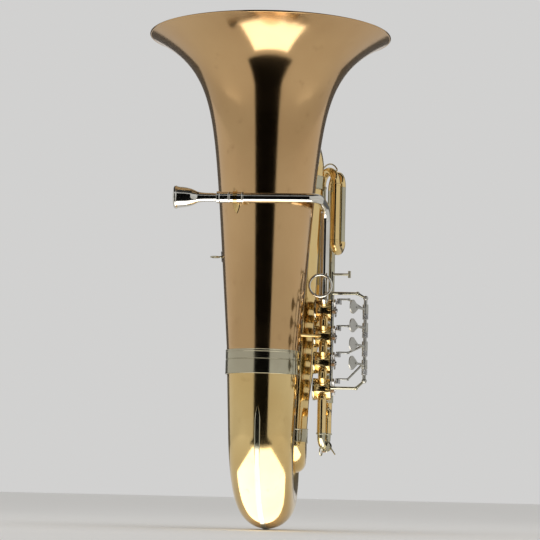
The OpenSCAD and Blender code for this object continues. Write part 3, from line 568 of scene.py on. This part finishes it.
def make_return_tube():
    """From the main slide down to the lower crook."""
    wall = SLEEVE_R - SLIDE_R
    skin = Skin()
    tube(skin, half_turn(LEG2, LEG3, LOW_U_Z - TOUCH, -1), SLEEVE_R, wall)
    tube(skin, half_turn(LEG3, RETURN_LEG, RETURN_TOP + TOUCH, 1), SLIDE_R, wall)
    skin.piece("return_bends", "return_tube", "lacquered_brass")
    skin = Skin()
    upright(skin, LEG3, LOW_U_Z, RETURN_TOP, SLIDE_R, wall)
    upright(skin, RETURN_LEG, EXIT_Z + EXIT_BEND + 12, RETURN_TOP, SLIDE_R, wall)
    skin.piece("return_legs", "return_tube", "nickel_silver")
    skin = Skin()
    along = np.append(RETURN_LEG - LOWER_RIGHT, 0)
    along /= np.linalg.norm(along)
    near, far = at(LOWER_RIGHT, EXIT_Z), at(RETURN_LEG, EXIT_Z)
    line = arc(near + along * EXIT_BEND - np.array((0, 0, EXIT_BEND)), -along, UP, EXIT_BEND, 90, 20)
    line += arc(far - along * EXIT_BEND + np.array((0, 0, EXIT_BEND)), (0, 0, -1), along, EXIT_BEND, 90, 20)
    line.append(at(RETURN_LEG, EXIT_Z + EXIT_BEND + 12 - TOUCH))
    tube(skin, line, SLIDE_R - 0.1, wall)
    skin.piece("exit_tube_fine", "exit_tube", "lacquered_brass")
    skin = Skin()
    band(skin, at(RETURN_LEG, EXIT_Z + EXIT_BEND + 4), UP, SLIDE_R + TOUCH, SLEEVE_R + 0.8, 14, lip=0.0)
    skin.piece("exit_ferrule", "exit_tube", "nickel_silver")


def make_lower_slide():
    """The low crook with its sleeves, below the valves."""
    wall = 0.8
    skin = Skin()
    port = np.array((VALVE_X, VALVE_Y - PORT_D, valve_at(4) - PORT_D))
    out = np.array((0, -SLANT, SLANT))
    line = arc(port - out * PORT_BEND, out, (0, -SLANT, -SLANT), PORT_BEND, 45, 16)
    tube(skin, [*line, at(LOWER_LEFT, LOWER_U_Z)], TUBE_R, wall)
    upright(skin, LOWER_RIGHT, LOWER_U_Z, EXIT_Z - EXIT_BEND - TOUCH, TUBE_R, wall)
    skin.piece("lower_sleeves_fine", "lower_sleeves", "lacquered_brass")
    skin = Skin()
    for leg in (LOWER_LEFT, LOWER_RIGHT):
        band(skin, at(leg, LOWER_U_Z - TOUCH - 3), UP, TUBE_R - wall, TUBE_R + 1.1, 3)
    skin.piece("lower_collars", "lower_sleeves", "nickel_silver")
    r = TUBE_R - wall - 0.05
    skin = Skin()
    turn = half_turn(LOWER_LEFT, LOWER_RIGHT, LOWER_U_Z - 6, -1)
    tube(skin, [at(LOWER_LEFT, LOWER_U_Z + 34), *turn, at(LOWER_RIGHT, LOWER_U_Z + 12)], r, 0.7)
    skin.piece("lower_slide_fine", "lower_slide", "nickel_silver")


def make_valve_tubing():
    """Knuckles between the valves, and each valve's slide with its sleeves."""
    skin = Skin()
    big = PITCH * SLANT - 20.5
    for n in (1, 2, 3):
        centre = (VALVE_X, VALVE_Y - PITCH / 2 + big / SLANT, valve_at(n) - PITCH / 2)
        tube(skin, arc(centre, (0, -SLANT, SLANT), (0, -SLANT, -SLANT), big, 90, 28), TUBE_R, TUBE_R - 6.9)
    skin.piece("valve_knuckles_fine", "valve_knuckles", "lacquered_brass")
    skin = Skin()
    for n in (1, 2, 3, 4):
        for k in (-1, 1):
            start = np.array((VALVE_X, SLEEVE_Y + TOUCH, valve_at(n) + k * LEG_DZ))
            tube(skin, [start, start + np.array((0, 40, 0))], TUBE_R, 0.7)
            band(skin, start + np.array((0, 37, 0)), (0, 1, 0), TUBE_R - 0.1, TUBE_R + 0.5, 3, sides=64)
    skin.piece("slide_sleeves_fine", "slide_sleeves", "nickel_silver")
    r = TUBE_R - 0.75
    for n in (1, 2, 3, 4):
        end = SLEEVE_Y + 43 + SLIDE_REACH[n - 1]
        high, low = valve_at(n) + LEG_DZ, valve_at(n) - LEG_DZ
        skin = Skin()
        turn = arc((VALVE_X, end, valve_at(n)), UP, (0, 1, 0), LEG_DZ, 180, 36)
        first, last = np.array((VALVE_X, SLEEVE_Y + 4, high)), np.array((VALVE_X, SLEEVE_Y + 4, low))
        tube(skin, [first, *turn, last], r, 0.7)
        skin.piece(f"valve_slide_{n}_fine", f"valve_slide_{n}", "lacquered_brass")
        skin = Skin()
        tip = end + LEG_DZ + r + 2 * TOUCH
        turned(skin, (VALVE_X, tip, valve_at(n)), (0, 1, 0),
               [(0, 0), (2.0, 0), (2.0, 1.6), (3.0, 2.2), (3.4, 3.2), (3.0, 4.4), (1.8, 5.0), (0, 5.0)],
               sides=48)
        skin.piece(f"slide_knob_{n}", f"valve_slide_{n}", "nickel_silver")


# ---------------------------------------------------------------- leadpipe and mouthpiece

LEAD_Y, LEAD_Z, LEAD_R = -205.0, 562.0, 7.9
LEAD_TURN, LEAD_DROP = 24.0, 28.0
RIM_X = -147.0
MOUTH_R = 20.0


def smooth(points, steps=5):
    """A curve through all the points, with extra points between them."""
    p = np.asarray(points, float)
    p = np.vstack([2 * p[0] - p[1], p, 2 * p[-1] - p[-2]])
    curve = []
    for a, b, c, d in zip(p[:-3], p[1:-2], p[2:-1], p[3:]):
        for t in np.linspace(0, 1, steps, endpoint=False):
            curve.append(0.5 * (2 * b + (c - a) * t + (2 * a - 5 * b + 4 * c - d) * t ** 2
                                + (3 * b - a - 3 * c + d) * t ** 3))
    return [tuple(q) for q in curve] + [tuple(p[-2])]


def make_leadpipe():
    """From the receiver across the front, back beside the bell and down into the first valve."""
    skin = Skin()
    port = np.array((VALVE_X, VALVE_Y - PORT_D, valve_at(1) + PORT_D))
    out = np.array((0, -SLANT, -SLANT))
    line = [(RIM_X + 98, LEAD_Y, LEAD_Z)]
    line += arc((VALVE_X - LEAD_TURN, LEAD_Y + LEAD_TURN, LEAD_Z), (0, -1, 0), (1, 0, 0), LEAD_TURN, 90, 30)
    line += arc((VALVE_X, LOWER_LEFT[1] - LEAD_DROP, LEAD_Z - LEAD_DROP), UP, (0, 1, 0), LEAD_DROP, 90, 30)
    line += arc(port - out * PORT_BEND, out, (0, -SLANT, SLANT), PORT_BEND, 45, 16)[::-1]
    tube(skin, line, LEAD_R, 0.9, sides=72)
    skin.piece("leadpipe_fine", "leadpipe", "silver_plate")


def make_mouthpiece():
    """Cup, rim and shank, and the receiver that holds them."""
    skin = Skin()
    outside = smooth([(16.6, 0.32), (17.4, 0.04), (18.7, 0.06), (19.7, 0.9), (MOUTH_R, 2.4), (19.9, 4.0),
                      (18.9, 5.8), (18.2, 9), (17.6, 15), (16.6, 22), (14.6, 29.5), (12.0, 35.5), (9.8, 40),
                      (8.6, 45), (7.8, 53), (7.5, 66)])
    outside += [(7.0, 70.0), (6.5, 94.0)]
    inside = smooth([(15.9, 1.6), (15.7, 5), (15.2, 12), (13.8, 21), (11.2, 28.5), (7.4, 33.6), (4.6, 37.5),
                     (4.0, 41), (4.1, 48), (5.6, 94)])
    turned(skin, (RIM_X, LEAD_Y, LEAD_Z), (1, 0, 0), outside + inside[::-1], sides=128)
    skin.piece("mouthpiece_fine", "mouthpiece", "silver_plate")
    skin = Skin()
    outer = [(7.1, 0), (10.0, 0), (10.4, 0.5), (10.4, 4.5), (10.0, 5), (9.3, 5.6), (9.3, 19.6), (9.7, 20),
             (9.9, 20.6), (9.9, 22.4), (9.7, 23), (9.3, 23.4), (9.3, 42.6), (9.7, 43), (9.9, 43.6),
             (9.9, 45.4),
             (9.5, 46), (7.95, 46), (7.95, 25), (6.56, 25)]
    turned(skin, (RIM_X + 73, LEAD_Y, LEAD_Z), (1, 0, 0), outer, sides=96)
    skin.piece("receiver_fine", "mouthpiece_receiver", "silver_plate")


make_bell()
make_ferrule()
make_bottom_bow()
make_guard_strip()
make_wrap()
make_branch_ferrules()
make_main_slide()
make_return_tube()
make_lower_slide()
make_valve_tubing()
make_leadpipe()
make_mouthpiece()


# ---------------------------------------------------------------- studio

def plain(name, colour, rough=0.9):
    """A plain matt finish for a stage piece."""
    mat = bpy.data.materials.new(name)
    mat.use_nodes = True
    shader = mat.node_tree.nodes["Principled BSDF"]
    shader.inputs["Base Color"].default_value = (*colour, 1)
    shader.inputs["Roughness"].default_value = rough
    shader.inputs["Specular IOR Level"].default_value = 0.1
    return mat


def sheet(name, corners, mat):
    """A flat stage piece through the given corners, in metres."""
    mesh = bpy.data.meshes.new(name)
    mesh.from_pydata([tuple(c) for c in corners], [], [tuple(range(len(corners)))])
    mesh.materials.append(mat)
    obj = bpy.data.objects.new(name, mesh)
    bpy.context.scene.collection.objects.link(obj)
    return obj


def soft_light(name, place, target, size, power):
    """A large soft box aimed at a point, in metres and watts."""
    data = bpy.data.lights.new(name, "AREA")
    data.shape = "RECTANGLE"
    data.size, data.size_y = size
    data.energy = power
    lamp = bpy.data.objects.new(name, data)
    bpy.context.scene.collection.objects.link(lamp)
    lamp.location = place
    lamp.rotation_mode = "QUATERNION"
    lamp.rotation_quaternion = (Vector(target) - Vector(place)).to_track_quat("-Z", "Y")
    lamp.visible_camera = False
    return lamp


def spread_out(spots, z=0.0):
    """Points given as (in front of the bell, sideways) in metres, seen from the camera."""
    a = math.radians(CAM_AZIMUTH)
    front = Vector((math.sin(a), -math.cos(a), 0))
    side = Vector((math.cos(a), math.sin(a), 0))
    return [Vector((0, BELL_Y * MM, z)) + front * f + side * s for f, s in spots]


def card(name, corners, tone):
    """A card that only polished metal sees, so that it draws the dark lines in the brass."""
    obj = sheet(name, corners, plain(name, (tone, tone, tone)))
    obj.visible_camera = False
    obj.visible_diffuse = False
    obj.visible_shadow = False
    return obj


def standing_card(name, spots, height, tone):
    """An upright card over two points on the floor."""
    a, b = spread_out(spots)
    rise = Vector((0, 0, height))
    return card(name, [a, b, b + rise, a + rise], tone)


FLOOR_R, FLOOR_Z = 30.0, -0.0005
WORLD_STRENGTH = 0.64
DARK, DIM = 0.004, 0.16


def make_studio():
    """Pale floor and surroundings, soft boxes, and dark cards seen only as reflections in the metal."""
    pale = plain("floor_pale", (0.80, 0.79, 0.77))
    turns = np.linspace(0, 2 * math.pi, 96, endpoint=False)
    sheet("floor", [(FLOOR_R * math.cos(t), FLOOR_R * math.sin(t), FLOOR_Z) for t in turns], pale)

    card("card_low", spread_out([(0.55, -0.46), (0.55, 0.47), (1.35, 0.53), (3.95, 1.45), (3.95, -2.05),
                                 (1.35, -0.68)], 0.004), DARK)
    standing_card("card_front", [(3.95, -2.05), (3.95, 1.45)], 3.2, DARK)
    standing_card("card_back_left", [(-2.4, -2.2), (-3.2, -0.7)], 3.0, DIM)
    standing_card("card_back_right", [(-2.4, 2.2), (-3.2, 0.7)], 3.0, DIM)
    card("card_top", spread_out([(3.2, -2.6), (3.2, 2.6), (-2.0, 2.6), (-2.0, -2.6)], 3.4), 0.06)

    middle = (0, 0, 0.45)
    places = spread_out([(0.9, -2.6), (0.9, 2.6), (0.4, 0.0), (0.19, 0.02)])
    left = soft_light("soft_left", places[0] + Vector((0, 0, 1.1)), middle, (1.6, 2.6), 9)
    right = soft_light("soft_right", places[1] + Vector((0, 0, 1.1)), middle, (1.6, 2.6), 8)
    top = soft_light("soft_top", places[2] + Vector((0, 0, 3.2)), middle, (2.2, 2.2), 12)
    for lamp in (left, right, top):
        lamp.visible_glossy = False
    low = soft_light("soft_low", places[3] + Vector((0, 0, 0.003)), places[3] + Vector((0, 0, 1)),
                     (0.54, 0.50), 2.1)
    low.rotation_mode = "XYZ"
    low.rotation_euler = (math.pi, 0, math.radians(CAM_AZIMUTH))

    world = bpy.data.worlds.new("studio")
    world.use_nodes = True
    world.node_tree.nodes["Background"].inputs["Color"].default_value = (1.0, 0.995, 0.985, 1)
    world.node_tree.nodes["Background"].inputs["Strength"].default_value = WORLD_STRENGTH
    bpy.context.scene.world = world
    bpy.context.scene.view_settings.view_transform = "Standard"


make_studio()
